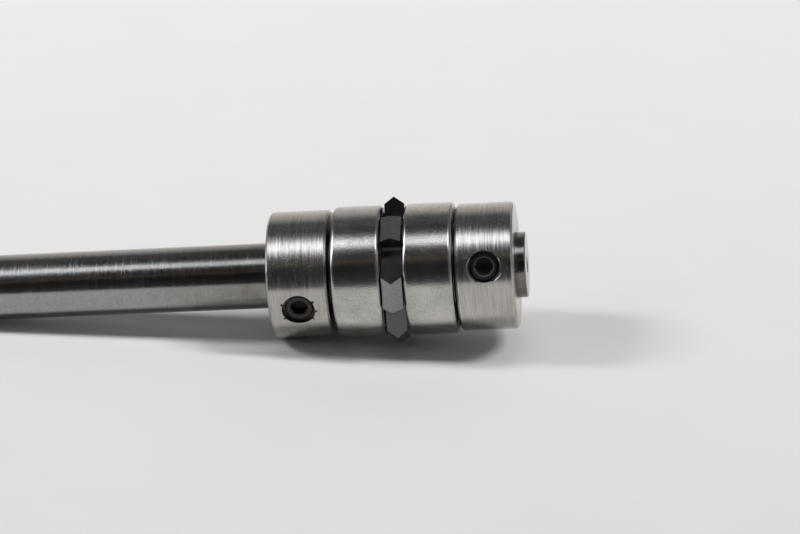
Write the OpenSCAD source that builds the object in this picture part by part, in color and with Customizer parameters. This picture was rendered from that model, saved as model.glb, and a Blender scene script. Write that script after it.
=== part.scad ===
// Bearing-guided V-cutter arbor.
// A plain shaft carries a six-tooth V-edged wheel between two shielded ball bearings.
// A set-screw collar at each end of the stack holds it on the shaft.
// The axis runs along X, with the shank towards -X and the nose towards +X.
// The origin is on the axis, at the rear collar's outer face, where the clear shank ends.

/* [Shaft] */
// Diameter of the shaft
shaft_d = 6.35; // [6:0.05:6.6]
// Clear length of the shank, from its free end to the rear collar
shank_len = 32.52; // [20:0.5:60]
// Length of shaft that stands out of the nose collar
stub_len = 1.0; // [0.6:0.1:4]
// Chamfer on the shank's free end
shaft_chamfer = 0.3; // [0.1:0.05:0.5]
// Chamfer on the nose end
nose_chamfer = 0.1; // [0.05:0.05:0.5]
// Diameter of the centre-drilled pilot in the nose end
centre_d = 1.0; // [0.6:0.1:1.4]
// Diameter of the centre hole's 60 degree mouth
centre_mouth_d = 1.7; // [1.5:0.1:2.4]
// How far inside the rear collar the ground shank ends, at a relief groove
relief_inset = 0.15; // [0.05:0.05:0.2]
// Width of the relief groove
relief_w = 0.8; // [0.7:0.1:1.2]
// Depth of the relief groove
relief_depth = 0.2; // [0.17:0.01:0.4]

/* [Collars] */
// Outer diameter of both collars
collar_d = 12.26; // [11.6:0.05:12.6]
// Width of the rear collar
rear_collar_w = 5.8; // [4.6:0.1:9]
// Width of the nose collar
nose_collar_w = 5.5; // [4.6:0.1:9]
// Chamfer on the collars' outer edges
collar_chamfer = 0.2; // [0.1:0.05:0.4]
// Chamfer at both mouths of the collars' bores
collar_bore_chamfer = 0.25; // [0.05:0.05:0.3]
// Radial slip clearance between a collar and the shaft
collar_fit = 0.02; // [0.01:0.01:0.05]

/* [Set screws] */
// Thread diameter of the set screws
screw_d = 3.0; // [2.5:0.1:3.4]
// Length of the set screws
screw_len = 2.5; // [2:0.1:2.8]
// Key size of the hex socket, across its flats
socket_af = 1.5; // [1.2:0.1:1.6]
// Depth of the hex socket
socket_depth = 1.1; // [0.7:0.1:1.3]
// Chamfer round the socket end of a screw
screw_chamfer = 0.25; // [0.1:0.05:0.4]
// Lead-in at the socket's mouth
socket_lead = 0.08; // [0.04:0.02:0.12]
// Diameter of the cup point's sharp rim
cup_d = 1.4; // [1:0.1:1.8]
// Depth of the cup inside its rim
cup_depth = 0.25; // [0.1:0.05:0.4]
// Radial clearance of a screw in its tapped hole
screw_fit = 0.03; // [0.01:0.01:0.06]
// Turn of the rear screw about the shaft, from straight up towards -Y
rear_screw_turn = 100.8; // [0:0.2:360]
// Turn of the nose screw about the shaft, from straight up towards -Y
nose_screw_turn = 66.6; // [0:0.2:360]
// Widening of the nose collar's tapped hole at its countersunk mouth
nose_countersink = 0.2; // [0.05:0.05:0.3]

/* [Bearings] */
// Outer diameter of both bearings
bearing_d = 12.7; // [12.6:0.05:13.5]
// Width of both bearings
bearing_w = 4.7625; // [4.6:0.05:6]
// Diameter of a ball
ball_d = 1.5875; // [1.45:0.05:1.65]
// Number of balls in a bearing
ball_count = 10; // [8:1:11]
// Diameter of the circle through the balls' centres
pitch_d = 9.525; // [9.45:0.025:9.6]
// Running clearance of a ball in each race
ball_fit = 0.015; // [0.01:0.005:0.03]
// Height of the race shoulders on both rings, from the bottom of the race
shoulder = 0.38; // [0.25:0.01:0.45]
// Radius on the outer ring's outside edges
ring_edge = 0.4; // [0.2:0.05:0.5]
// Chamfer on the inner ring's edges
inner_ring_edge = 0.2; // [0.1:0.05:0.3]
// Radial slip clearance of an inner ring, the wheel or a shim on the shaft
seat_fit = 0.01; // [0.005:0.005:0.03]
// Width of the cage
cage_w = 2.0; // [1.8:0.1:2.4]
// Radial thickness of the cage
cage_t = 0.5; // [0.3:0.05:0.55]
// Clearance of a ball in its cage pocket
pocket_fit = 0.05; // [0.02:0.01:0.08]
// Thickness of a shield
shield_t = 0.2; // [0.15:0.05:0.3]
// Step from the bottom of the outer race out to the shield's seat
shield_step = 0.06; // [0.04:0.01:0.08]
// Depth of a shield's outside below the outer ring's face
shield_depth = 0.45; // [0.36:0.01:0.5]
// Radial gap between a shield and the inner ring
shield_gap = 0.15; // [0.08:0.01:0.2]
// Thickness of the snap ring that holds a shield
snap_t = 0.25; // [0.2:0.05:0.3]
// Radial width of a snap ring
snap_w = 0.42; // [0.3:0.02:0.5]
// Depth of the groove that holds a snap ring
snap_groove_depth = 0.16; // [0.1:0.02:0.2]
// Slack round a snap ring in its groove
snap_groove_slack = 0.02; // [0.01:0.01:0.03]
// Opening of a snap ring, in degrees
snap_opening = 10; // [4:1:30]

/* [Shims] */
// Thickness of the shim between the rear collar and its bearing
rear_shim_t = 0.4; // [0.2:0.05:1]
// Thickness of the shim between the nose collar and its bearing
nose_shim_t = 0.25; // [0.2:0.05:1]
// Thickness of each shim beside the wheel
wheel_shim_t = 0.1; // [0.05:0.05:0.5]
// Radial set-back of a shim's rim from the inner ring's shoulder
shim_setback = 0.2; // [0.1:0.05:0.4]

/* [V wheel] */
// Diameter across the teeth
wheel_d = 14.2875; // [13.6:0.05:16]
// Width of the wheel
wheel_w = 1.95; // [1.5:0.05:3]
// Number of teeth
tooth_count = 6; // [6:1:7]
// Angle between the two flanks of a tooth
v_angle = 110; // [90:1:130]
// Angle at which a tooth's land drops away behind its cutting edge
relief_angle = 16.5; // [12:0.5:20]
// Length of a tooth's ridge, from cutting edge to heel
land_len = 2.85; // [2.2:0.05:3]
// Diameter of the circle through the gullets' roots
root_d = 9.28; // [9:0.05:10.4]
// Fillet radius at a gullet's root
root_fillet = 0.25; // [0.1:0.05:0.4]
// Turn of the first cutting edge about the shaft, from straight up towards -Y
wheel_turn = 40.9; // [0:0.1:60]

/* [Hidden] */
$fn = 96;
past = 1; // how far a cutting solid runs past what it cuts

ground = "#b4b1aa";
turned = "#c2beb6";
polished = "#cfcdc8";
tool_steel = "#3e3e3f";
black_oxide = "#1f1f20";
pressed = "#a9a8a4";

// Places along the axis, worked out by stacking the pieces from the rear collar's outer face
rear_bearing_x = rear_collar_w + rear_shim_t;
wheel_x = rear_bearing_x + bearing_w + wheel_shim_t;
nose_bearing_x = wheel_x + wheel_w + wheel_shim_t;
nose_collar_x = nose_bearing_x + bearing_w + nose_shim_t;
stack_end = nose_collar_x + nose_collar_w;

shaft_r = shaft_d / 2;
shaft_len = shank_len + stack_end + stub_len;
seat_r = shaft_r + seat_fit;
collar_r = collar_d / 2;
collar_bore_r = shaft_r + collar_fit;

// Set screws: a small gap keeps the cup point's rim just clear of the shaft
screw_tip_gap = 0.01;
screw_r = screw_d / 2;
screw_hole_r = screw_r + screw_fit;
screw_tip_r = shaft_r + screw_tip_gap;
drill_point = 118;

// Bearings
race_conformity = 0.52; // radius of a race over the diameter of its balls
bearing_r = bearing_d / 2;
ball_r = ball_d / 2;
pitch_r = pitch_d / 2;
race_r = race_conformity * ball_d;
inner_race_r = pitch_r - ball_r - ball_fit;
outer_race_r = pitch_r + ball_r + ball_fit;
inner_shoulder_r = inner_race_r + shoulder;
outer_shoulder_r = outer_race_r - shoulder;
shield_seat_r = outer_race_r + shield_step;
snap_groove_r = shield_seat_r + snap_groove_depth;
shim_r = inner_shoulder_r - shim_setback;

// V wheel: heights are measured from the axis, square to a tooth's ridge
tip_r = wheel_d / 2;
root_r = root_d / 2;
tooth_pitch = 360 / tooth_count;
ridge_h = tip_r * cos(relief_angle);
flank_drop = wheel_w / 2 / tan(v_angle / 2);
ridge_front = tip_r * sin(relief_angle);
ridge_heel = land_len - ridge_front;
heel_r = norm([ridge_h, ridge_heel]);
heel_turn = -relief_angle - atan2(ridge_heel, ridge_h);
roof_margin = 0.15; // how far a tooth's roofed block runs past its two faces

// ---- helpers ----

// Turns a solid drawn about Z so that it lies about the shaft's axis
module along_x(x) {
    translate([x, 0, 0])
        rotate([0, 90, 0])
            children();
}

// The same, but pointing back from x, towards the shank
module along_minus_x(x) {
    translate([x, 0, 0])
        rotate([0, -90, 0])
            children();
}

// Points a solid drawn along +Z away from the shaft, turned from straight up towards -Y
module radial(x, turn) {
    translate([x, 0, 0])
        rotate([turn, 0, 0])
            children();
}

// Section of a ring from radius r0 to r1, with chamfers c0 at the bore and c1 at the rim
module chamfered_section(r0, r1, w, c0, c1) {
    polygon([
        [r0, c0], [r0 + c0, 0],
        [r1 - c1, 0], [r1, c1],
        [r1, w - c1], [r1 - c1, w],
        [r0 + c0, w], [r0, w - c0]
    ]);
}

// A flat washer about the shaft
module washer(x, r0, r1, t) {
    along_x(x)
        rotate_extrude()
            translate([r0, 0])
                square([r1 - r0, t]);
}

// The ring of round section that cuts a ball's race
module race_cut(centre_r) {
    rotate_extrude()
        translate([centre_r, bearing_w / 2])
            circle(r = race_r);
}

// ---- shaft ----

module shaft() {
    color(ground)
        along_x(-shank_len)
            difference() {
                rotate_extrude()
                    shaft_section();
                translate([0, 0, shaft_len])
                    centre_hole();
            }
}

module shaft_section() {
    groove = shank_len + relief_inset;
    difference() {
        polygon([
            [0, 0],
            [shaft_r - shaft_chamfer, 0], [shaft_r, shaft_chamfer],
            [shaft_r, shaft_len - nose_chamfer], [shaft_r - nose_chamfer, shaft_len],
            [0, shaft_len]
        ]);
        translate([shaft_r - relief_depth, groove])
            square([relief_depth + past, relief_w]);
    }
}

// A centre drill's hole, with its mouth on the XY plane and running down
module centre_hole() {
    mouth_depth = (centre_mouth_d - centre_d) / 2 / tan(30);
    pilot_depth = mouth_depth + centre_d;
    tip_depth = pilot_depth + centre_d / 2 / tan(drill_point / 2);
    rotate_extrude()
        polygon([
            [0, past], [centre_mouth_d / 2, past], [centre_mouth_d / 2, 0],
            [centre_d / 2, -mouth_depth],
            [centre_d / 2, -pilot_depth],
            [0, -tip_depth]
        ]);
}

// ---- collars and their set screws ----

module collar(x, w, screw_turn, countersink) {
    color(turned)
        difference() {
            along_x(x)
                rotate_extrude()
                    chamfered_section(collar_bore_r, collar_r, w, collar_bore_chamfer, collar_chamfer);
            radial(x + w / 2, screw_turn)
                cylinder(r = screw_hole_r, h = collar_r + past);
            if (countersink > 0)
                radial(x + w / 2, screw_turn)
                    countersink_cut(countersink);
        }
}

// A 90 degree countersink that reaches its full width at the collar's crown
module countersink_cut(widening) {
    translate([0, 0, collar_r - widening])
        cylinder(r1 = screw_hole_r, r2 = screw_hole_r + widening + past, h = widening + past);
}

module rear_collar() {
    collar(0, rear_collar_w, rear_screw_turn, 0);
}

module nose_collar() {
    collar(nose_collar_x, nose_collar_w, nose_screw_turn, nose_countersink);
}

module set_screw(x, turn) {
    color(black_oxide)
        radial(x, turn)
            translate([0, 0, screw_tip_r])
                difference() {
                    rotate_extrude()
                        screw_section();
                    translate([0, 0, screw_len - socket_depth])
                        cylinder(d = socket_af / cos(30), h = socket_depth + past, $fn = 6);
                    socket_mouth();
                    socket_floor();
                }
}

// Half section of a cup-point screw, standing on its point
module screw_section() {
    point_h = screw_r - cup_d / 2;
    polygon([
        [0, cup_depth], [cup_d / 2, 0], [screw_r, point_h],
        [screw_r, screw_len - screw_chamfer], [screw_r - screw_chamfer, screw_len],
        [0, screw_len]
    ]);
}

// The lead-in cone at the socket's mouth
module socket_mouth() {
    corner_r = socket_af / 2 / cos(30);
    translate([0, 0, screw_len - socket_lead])
        cylinder(r1 = corner_r - socket_lead, r2 = corner_r + socket_lead, h = 2 * socket_lead);
}

// The cone that the socket's pilot drill leaves
module socket_floor() {
    pilot_r = socket_af / 2;
    depth = pilot_r / tan(drill_point / 2) / 2;
    translate([0, 0, screw_len - socket_depth - depth])
        cylinder(r1 = 0, r2 = pilot_r, h = depth);
}

module rear_set_screw() {
    set_screw(rear_collar_w / 2, rear_screw_turn);
}

module nose_set_screw() {
    set_screw(nose_collar_x + nose_collar_w / 2, nose_screw_turn);
}

// ---- ball bearings ----

// Drawn about Z from one face, to be laid along the shaft with its other face outwards
module outer_ring() {
    color(polished)
        difference() {
            rotate_extrude()
                outer_ring_section();
            race_cut(outer_race_r - race_r);
        }
}

// Rounded outside edges, race shoulders inside, and a stepped seat at each face for shield and snap ring
module outer_ring_section() {
    edge_x = bearing_r - ring_edge;
    seat_depth = shield_depth + shield_t;
    groove_x = shield_depth - snap_t - snap_groove_slack;
    difference() {
        union() {
            translate([outer_shoulder_r, 0])
                square([edge_x - outer_shoulder_r, bearing_w]);
            translate([edge_x - ring_edge, ring_edge])
                square([2 * ring_edge, bearing_w - 2 * ring_edge]);
            for (y = [ring_edge, bearing_w - ring_edge])
                translate([edge_x, y])
                    circle(r = ring_edge);
        }
        for (flip = [0, 1])
            translate([0, flip * bearing_w])
                mirror([0, flip]) {
                    translate([0, -past])
                        square([shield_seat_r, seat_depth + past]);
                    translate([shield_seat_r - past, groove_x])
                        square([snap_groove_r - shield_seat_r + past, shield_depth - groove_x]);
                }
    }
}

module inner_ring(x) {
    color(polished)
        along_x(x)
            difference() {
                rotate_extrude()
                    chamfered_section(seat_r, inner_shoulder_r, bearing_w, inner_ring_edge, inner_ring_edge / 2);
                race_cut(inner_race_r + race_r);
            }
}

module at_each_ball(x) {
    for (i = [0:ball_count - 1])
        radial(x + bearing_w / 2, i * 360 / ball_count)
            translate([0, 0, pitch_r])
                children();
}

module balls(x) {
    color(polished)
        at_each_ball(x)
            sphere(r = ball_r, $fn = 48);
}

module cage(x) {
    color(pressed)
        difference() {
            washer(x + (bearing_w - cage_w) / 2, pitch_r - cage_t / 2, pitch_r + cage_t / 2, cage_w);
            at_each_ball(x)
                sphere(r = ball_r + pocket_fit, $fn = 48);
        }
}

// x is the shield's own rear face
module shield(x) {
    color(pressed)
        washer(x, inner_shoulder_r + shield_gap, shield_seat_r, shield_t);
}

// An open wire ring, sprung into its groove, with its opening underneath
module snap_ring(x) {
    outside = snap_groove_r - snap_groove_slack;
    reach = bearing_r;
    color(turned)
        difference() {
            washer(x, outside - snap_w, outside, snap_t);
            along_x(x - past)
                linear_extrude(snap_t + 2 * past)
                    polygon([
                        [0, 0],
                        reach * [cos(snap_opening / 2), sin(snap_opening / 2)],
                        reach * [cos(snap_opening / 2), -sin(snap_opening / 2)]
                    ]);
        }
}

// A bearing's two faces carry the same seat, so each is placed from its own face
function rear_face_shield(x) = x + shield_depth;
function nose_face_shield(x) = x + bearing_w - shield_depth - shield_t;
function rear_face_snap(x) = x + shield_depth - snap_t;
function nose_face_snap(x) = x + bearing_w - shield_depth;

module rear_outer_ring() { along_minus_x(rear_bearing_x + bearing_w) outer_ring(); }
module rear_inner_ring() { inner_ring(rear_bearing_x); }
module rear_balls() { balls(rear_bearing_x); }
module rear_cage() { cage(rear_bearing_x); }
module rear_outboard_shield() { shield(rear_face_shield(rear_bearing_x)); }
module rear_inboard_shield() { shield(nose_face_shield(rear_bearing_x)); }
module rear_outboard_snap_ring() { snap_ring(rear_face_snap(rear_bearing_x)); }
module rear_inboard_snap_ring() { snap_ring(nose_face_snap(rear_bearing_x)); }

module nose_outer_ring() { along_x(nose_bearing_x) outer_ring(); }
module nose_inner_ring() { inner_ring(nose_bearing_x); }
module nose_balls() { balls(nose_bearing_x); }
module nose_cage() { cage(nose_bearing_x); }
module nose_inboard_shield() { shield(rear_face_shield(nose_bearing_x)); }
module nose_outboard_shield() { shield(nose_face_shield(nose_bearing_x)); }
module nose_inboard_snap_ring() { snap_ring(rear_face_snap(nose_bearing_x)); }
module nose_outboard_snap_ring() { snap_ring(nose_face_snap(nose_bearing_x)); }

// ---- shims ----

module shim(x, t) {
    color(pressed)
        washer(x, seat_r, shim_r, t);
}

module rear_shim() { shim(rear_collar_w, rear_shim_t); }
module rear_wheel_shim() { shim(wheel_x - wheel_shim_t, wheel_shim_t); }
module nose_wheel_shim() { shim(wheel_x + wheel_w, wheel_shim_t); }
module nose_shim() { shim(nose_collar_x - nose_shim_t, nose_shim_t); }

// ---- V wheel ----

module v_wheel() {
    mid = wheel_x + wheel_w / 2;
    color(tool_steel)
        difference() {
            for (i = [0:tooth_count - 1])
                radial(mid, wheel_turn - relief_angle + i * tooth_pitch)
                    tooth_roof();
            along_x(wheel_x - past)
                linear_extrude(wheel_w + 2 * past)
                    for (i = [0:tooth_count - 1])
                        rotate(180 + wheel_turn + i * tooth_pitch)
                            gullet();
            along_x(wheel_x - past)
                cylinder(r = seat_r, h = wheel_w + 2 * past);
        }
}

// One tooth's flat flanks and ridge, as a roofed block that reaches in to the axis
module tooth_roof() {
    heel_side = root_r * sin(tooth_pitch - relief_angle) + roof_margin;
    front_side = ridge_front + roof_margin;
    half = wheel_w / 2;
    translate([0, heel_side, 0])
        rotate([90, 0, 0])
            linear_extrude(heel_side + front_side)
                polygon([
                    [-half, 0], [-half, ridge_h - flank_drop],
                    [0, ridge_h],
                    [half, ridge_h - flank_drop], [half, 0]
                ]);
}

// The gap ahead of a cutting edge that lies on +X: a radial rake face, a filleted root,
// and the sloping heel face of the next tooth
module gullet() {
    root = [root_r, 0];
    heel = heel_r * [cos(tooth_pitch + heel_turn), sin(tooth_pitch + heel_turn)];
    rake_dir = [1, 0];
    heel_dir = (heel - root) / norm(heel - root);
    opening = acos(rake_dir * heel_dir);
    middle_dir = (rake_dir + heel_dir) / norm(rake_dir + heel_dir);
    centre = root + middle_dir * root_fillet / sin(opening / 2);
    tangent = root_fillet / tan(opening / 2);
    reach = wheel_d;
    translate(centre)
        circle(r = root_fillet);
    polygon([
        centre,
        root + rake_dir * tangent, root + rake_dir * reach,
        root + heel_dir * reach, root + heel_dir * tangent
    ]);
}

shaft();
rear_collar();
rear_set_screw();
rear_shim();
rear_outer_ring();
rear_inner_ring();
rear_balls();
rear_cage();
rear_outboard_shield();
rear_inboard_shield();
rear_outboard_snap_ring();
rear_inboard_snap_ring();
rear_wheel_shim();
v_wheel();
nose_wheel_shim();
nose_outer_ring();
nose_inner_ring();
nose_balls();
nose_cage();
nose_inboard_shield();
nose_outboard_shield();
nose_inboard_snap_ring();
nose_outboard_snap_ring();
nose_shim();
nose_collar();
nose_set_screw();
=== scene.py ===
"""A bearing-guided V-cutter arbor, lying on a white table.

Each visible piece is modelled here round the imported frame: turned pieces from their own sections,
threads, teeth, balls and snap rings by Geometry Nodes. The shaft's axis is X, with the nose towards
+X. A piece's turn is measured about the shaft, from straight up towards -Y.
"""

import math

import bmesh
import bpy
from mathutils import Euler, Matrix, Vector


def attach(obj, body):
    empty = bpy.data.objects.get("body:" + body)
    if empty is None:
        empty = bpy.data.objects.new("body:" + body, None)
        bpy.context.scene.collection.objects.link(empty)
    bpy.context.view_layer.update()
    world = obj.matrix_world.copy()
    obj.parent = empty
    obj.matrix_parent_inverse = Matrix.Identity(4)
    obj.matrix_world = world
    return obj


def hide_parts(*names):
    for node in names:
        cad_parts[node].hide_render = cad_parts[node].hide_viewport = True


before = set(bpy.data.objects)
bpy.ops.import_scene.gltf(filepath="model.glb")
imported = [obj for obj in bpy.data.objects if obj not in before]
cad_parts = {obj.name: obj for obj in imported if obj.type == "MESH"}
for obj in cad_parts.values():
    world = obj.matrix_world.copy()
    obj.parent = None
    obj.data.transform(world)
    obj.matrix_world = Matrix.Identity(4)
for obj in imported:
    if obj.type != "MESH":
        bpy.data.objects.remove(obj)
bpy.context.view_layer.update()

MM = 0.001
UP = Vector((0, 0, 1))

# ---- sizes that the frame's boxes don't give, in millimetres and degrees ----

SHAFT_CHAMFER, NOSE_CHAMFER = 0.3, 0.1
CENTRE_PILOT, CENTRE_MOUTH, CENTRE_LEAN = 1.0, 1.7, 30
RELIEF_INSET, RELIEF_WIDTH, RELIEF_DEPTH = 0.15, 0.8, 0.2

COLLAR_CHAMFER = 0.2
COLLAR_BORE_CHAMFER = 0.25
COLLAR_FIT = 0.02

SCREW_TURN = {"rear": 100.8, "nose": 66.6}
MOUTH_NICKS = {"rear": (156, 212, 322, 355, 31), "nose": ()}  # degrees round the tapped hole
NICK_OUT, NICK_HALF, NICK_FLAT = 0.08, 0.14, 0.08
MOUTH_CLEAR, CLEAR_BELOW = {"rear": 0.1, "nose": 0.03}, 0.1
MOUTH_DEBURR, DEBURR_OFFSET, DEBURR_INSET, DEBURR_LEAN = 0.17, 0.22, 0.05, 60
THREAD_PITCH = 0.5
THREAD_DEPTH = 0.27
THREAD_FIT = 0.03
SOCKET_AF, SOCKET_DEPTH, SOCKET_LEAD, SOCKET_CONE = 1.5, 1.1, 0.08, 0.25
SCREW_CHAMFER = 0.25
CUP_RIM, CUP_DEPTH = 1.4, 0.25
DRILL_POINT = 118

BALL, BALL_COUNT, BALL_PITCH = 1.5875, 10, 9.525
RACE_RADIUS = 0.52 * BALL
BALL_FIT = 0.015
SHOULDER = 0.38
SHIELD_STEP = 0.06
SNAP_GROOVE, SNAP_GROOVE_WIDTH = 0.16, 0.27
RING_EDGE = 0.4
INNER_RING_EDGE = 0.2
SHIELD_T, SHIELD_DEPTH = 0.2, 0.45
BEAD_DEPTH, BEAD_OUT, BEAD_IN = 0.05, (0.3, 0.15), (0.25, 0.12)  # past a shield's middle and its bore
SHEET_EDGE, SHEET_BEND = 0.02, 0.03
SNAP_OPENING = 10

TEETH = 6
V_ANGLE = 110
RELIEF_ANGLE = 16.5
LAND = 2.85
ROOT_D, ROOT_FILLET = 9.28, 0.25
WHEEL_TURN = 40.9
TOOTH_EDGE_BREAK, TOOTH_EDGE_ANGLE = 0.012, 22

SEGMENTS = 288  # facets round a turned piece
EDGE_BREAK = 0.03  # rounding left on a finished edge
CUTTER_OVERRUN = 0.5  # how far a cutter stands out of what it cuts
SLIVER = 0.0005  # what is thinner than this after a cut is merged away


# ---- reading the frame ----


def reach(node):
    """A CAD node's two ends along the shaft and its largest radius, in millimetres."""
    points = [v.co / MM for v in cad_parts[node].data.vertices]
    along = [p.x for p in points]
    return min(along), max(along), max(math.hypot(p.y, p.z) for p in points)


def bore_of(node):
    """A CAD node's smallest radius, in millimetres."""
    return min(math.hypot(v.co.y, v.co.z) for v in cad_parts[node].data.vertices) / MM


SHAFT_START, SHAFT_END, SHAFT_R = reach("shaft")
COLLAR = {end: reach(f"{end}_collar") for end in ("rear", "nose")}
BEARING = {end: reach(f"{end}_outer_ring") for end in ("rear", "nose")}
WHEEL = reach("v_wheel")
SCREW_R, SCREW_LEN = 1.5, 2.5
SCREW_TIP_R = SHAFT_R + 0.01


# ---- camera ----


def place_camera(azimuth, elevation, roll, target, distance, lens):
    """A camera that looks at target, rolled about its own view."""
    camera = bpy.data.objects.new("camera", bpy.data.cameras.new("camera"))
    bpy.context.scene.collection.objects.link(camera)
    turn = Euler((math.radians(90 - elevation), 0, math.radians(azimuth))).to_matrix()
    turn = turn @ Matrix.Rotation(math.radians(roll), 3, "Z")
    camera.matrix_world = Matrix.Translation(
        Vector(target) * MM + turn @ Vector((0, 0, distance * MM))
    ) @ turn.to_4x4()
    camera.data.lens = lens
    camera.data.sensor_width = 36
    camera.data.clip_start, camera.data.clip_end = 0.01, 20
    bpy.context.scene.camera = camera


place_camera(
    azimuth=6.665, elevation=23.59, roll=-5.185,
    target=(12.418, -1.007, 0.745), distance=274.0, lens=127.83,
)


# ---- building node trees ----


def add(tree, kind, inputs=None, **settings):
    """A node of that kind. An input that is a socket is linked, and any other is a value."""
    made = tree.nodes.new(kind)
    for key, value in settings.items():
        setattr(made, key, value)
    for key, value in (inputs or {}).items():
        if isinstance(value, bpy.types.NodeSocket):
            tree.links.new(value, made.inputs[key])
        else:
            made.inputs[key].default_value = value
    return made


SIGNS = {"+": "ADD", "-": "SUBTRACT", "*": "MULTIPLY", "/": "DIVIDE"}


def calc(tree, operation, *values, clamp=False):
    """The result of a Math node, named or given by its sign."""
    kind = SIGNS.get(operation, operation)
    inputs = dict(enumerate(values))
    return add(tree, "ShaderNodeMath", inputs, operation=kind, use_clamp=clamp).outputs[0]


def vector_calc(tree, operation, inputs):
    """The result of a Vector Math node."""
    return add(tree, "ShaderNodeVectorMath", inputs, operation=operation).outputs[0]


def vector(tree, *values):
    """The vector of those values."""
    return add(tree, "ShaderNodeCombineXYZ", dict(enumerate(values))).outputs[0]


def parts(tree, whole):
    """A vector's x, y and z."""
    return add(tree, "ShaderNodeSeparateXYZ", {0: whole}).outputs


def ramp(tree, value, low, high, smooth=False):
    """value, mapped from low..high to 0..1 and held there."""
    kind = "SMOOTHSTEP" if smooth else "LINEAR"
    inputs = {"Value": value, "From Min": low, "From Max": high}
    return add(tree, "ShaderNodeMapRange", inputs, interpolation_type=kind).outputs["Result"]


def sockets(tree, direction, names, kind="NodeSocketFloat"):
    """Gives a tree's interface sockets of that kind."""
    for name in names:
        tree.interface.new_socket(name, in_out=direction, socket_type=kind)


def shader_group(name, inputs, outputs):
    """A shader node group: its tree, its input values and its output sockets."""
    tree = bpy.data.node_groups.new(name, "ShaderNodeTree")
    sockets(tree, "INPUT", inputs)
    sockets(tree, "OUTPUT", outputs)
    return tree, tree.nodes.new("NodeGroupInput").outputs, tree.nodes.new("NodeGroupOutput").inputs


# ---- shared finishes ----


def object_point(tree):
    """A point's place on its piece, in metres."""
    return add(tree, "ShaderNodeTexCoord").outputs["Object"]


def noise(tree, point, scale, detail=2.0, roughness=0.5):
    """Noise from 0 to 1, about 0.5."""
    inputs = {"Vector": point, "Scale": scale, "Detail": detail, "Roughness": roughness}
    return add(tree, "ShaderNodeTexNoise", inputs).outputs["Fac"]


def off_axis(tree, xyz):
    """How far a point is from the shaft's axis."""
    squares = [calc(tree, "*", xyz[k], xyz[k]) for k in (1, 2)]
    return calc(tree, "SQRT", calc(tree, "+", *squares))


RIM_FADE = 0.06  # depth under a rim over which its grain fades, in millimetres
SMUDGE_SIZE = 4  # in millimetres
PIT_PLACE = (1.7, -1.3, 1.3)  # reads the grit's noise elsewhere, so that pits don't follow the grit
PIT_DEPTH = 0.35  # of the grit's height
# Colour of the painted shade in the slits between pieces
SLIT_SHADE_COLOUR = (0.03, 0.028, 0.024)
SHADE_AND_DUST_DULLS = 0.8  # how much of a metal's shine the painted shade and sheen, and the gullets' dust, take away


def make_tool_lines():
    """Lines that a lathe tool or a wheel leaves: round the shaft on a rim, in rings on a face."""
    tree, given, out = shader_group("tool_lines", ("Spacing", "Waver"), ("Height", "Band"))
    point = object_point(tree)
    xyz = parts(tree, point)
    drift = vector_calc(tree, "SCALE", {0: point, "Scale": given["Waver"]})
    place = vector_calc(tree, "ADD", {0: vector(tree, xyz[0], off_axis(tree, xyz)), 1: drift})
    per_line = calc(tree, "/", 1.0, given["Spacing"])
    per_band = calc(tree, "/", 0.3, given["Spacing"])
    tree.links.new(noise(tree, place, per_line, 3.0, 0.7), out["Height"])
    tree.links.new(noise(tree, place, per_band, 3.0, 0.7), out["Band"])
    return tree


def make_scratches():
    """Thin marks across the shaft's axis, where something rubbed."""
    tree, given, out = shader_group("scratches", ("Width", "Length", "Share"), ("Mask",))
    xyz = parts(tree, object_point(tree))
    sizes = (given["Width"], given["Length"], given["Length"])
    place = vector(tree, *(calc(tree, "/", part, size) for part, size in zip(xyz, sizes)))
    marks = noise(tree, place, 1.0, 2.0, 0.6)
    edge = calc(tree, "-", 0.75, calc(tree, "*", given["Share"], 0.35))
    tree.links.new(ramp(tree, marks, edge, calc(tree, "+", edge, 0.08)), out["Mask"])
    return tree


def make_grain():
    """Fine grit marks of a ground rim, fading where the surface drops below the rim's radius."""
    tree, given, out = shader_group("grain", ("Size", "Stretch", "Rim"), ("Height", "Sparkle"))
    xyz = parts(tree, object_point(tree))
    place = vector(tree, calc(tree, "*", xyz[0], given["Stretch"]), xyz[1], xyz[2])
    per_size = calc(tree, "/", 1.0, given["Size"])
    grit = noise(tree, place, per_size, 1.0, 0.5)
    elsewhere = vector_calc(tree, "MULTIPLY", {0: place, 1: PIT_PLACE})
    pits = ramp(tree, noise(tree, elsewhere, per_size, 0.0), 0.58, 0.8)
    inside = calc(tree, "-", given["Rim"], RIM_FADE * MM)
    on_rim = ramp(tree, off_axis(tree, xyz), inside, given["Rim"], smooth=True)
    dug = calc(tree, "-", grit, calc(tree, "*", pits, PIT_DEPTH))
    tree.links.new(calc(tree, "*", dug, on_rim), out["Height"])
    tree.links.new(calc(tree, "*", ramp(tree, grit, 0.35, 0.65), on_rim), out["Sparkle"])
    return tree


def make_handling():
    """Soft smudges of oil and fingers."""
    tree, given, out = shader_group("handling", ("Size",), ("Smudge",))
    smudge = noise(tree, object_point(tree), calc(tree, "/", 1.0, given["Size"]), 4.0, 0.6)
    tree.links.new(ramp(tree, smudge, 0.35, 0.7, smooth=True), out["Smudge"])
    return tree


def make_painted_slit_shade():
    """Painted shade in a narrow slit between two pieces, up to just under their rims."""
    tree, given, out = shader_group("painted_slit_shade", ("Middle", "Half", "Rim"), ("Mask",))
    xyz = parts(tree, object_point(tree))
    away = calc(tree, "ABSOLUTE", calc(tree, "-", xyz[0], given["Middle"]))
    near = ramp(tree, away, given["Half"], calc(tree, "*", given["Half"], 0.9))
    depth = calc(tree, "-", given["Rim"], off_axis(tree, xyz))
    tree.links.new(calc(tree, "*", near, ramp(tree, depth, -0.00005, 0.00015)), out["Mask"])
    return tree


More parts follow.
